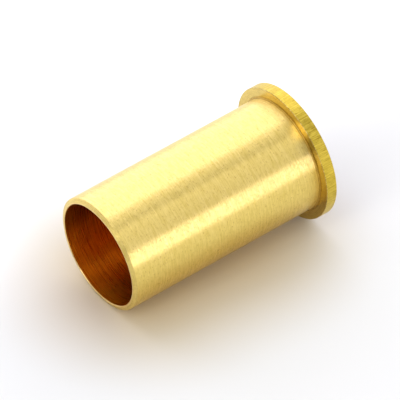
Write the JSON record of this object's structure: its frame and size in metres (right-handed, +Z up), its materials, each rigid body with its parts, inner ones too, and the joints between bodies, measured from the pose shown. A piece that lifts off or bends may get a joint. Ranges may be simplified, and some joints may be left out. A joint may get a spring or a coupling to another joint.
{
  "type": "guitar slide",
  "caption": "Open brass sleeve worn on a finger to glide along guitar strings, with a bevelled mouth at one end and a low flange collar brazed round the other.",
  "frame": {"origin": "on the axis of the bore, halfway along the slide", "axes": "+X along the bore from the open mouth to the flange end; +Z up, with the slide lying on its side"},
  "size_m": [0.0488, 0.0296, 0.0296],
  "materials": {
    "tube_brass": "turned, fine marks round the tube",
    "collar_brass": "faced shoulder and end, fine cross marks on the rim",
    "braze_brass": "smooth braze filler"
  },
  "bodies": {
    "root": {"slide_tube": "tube_brass", "flange_collar": "collar_brass", "braze_fillet": "braze_brass"}
  },
  "joints": []
}
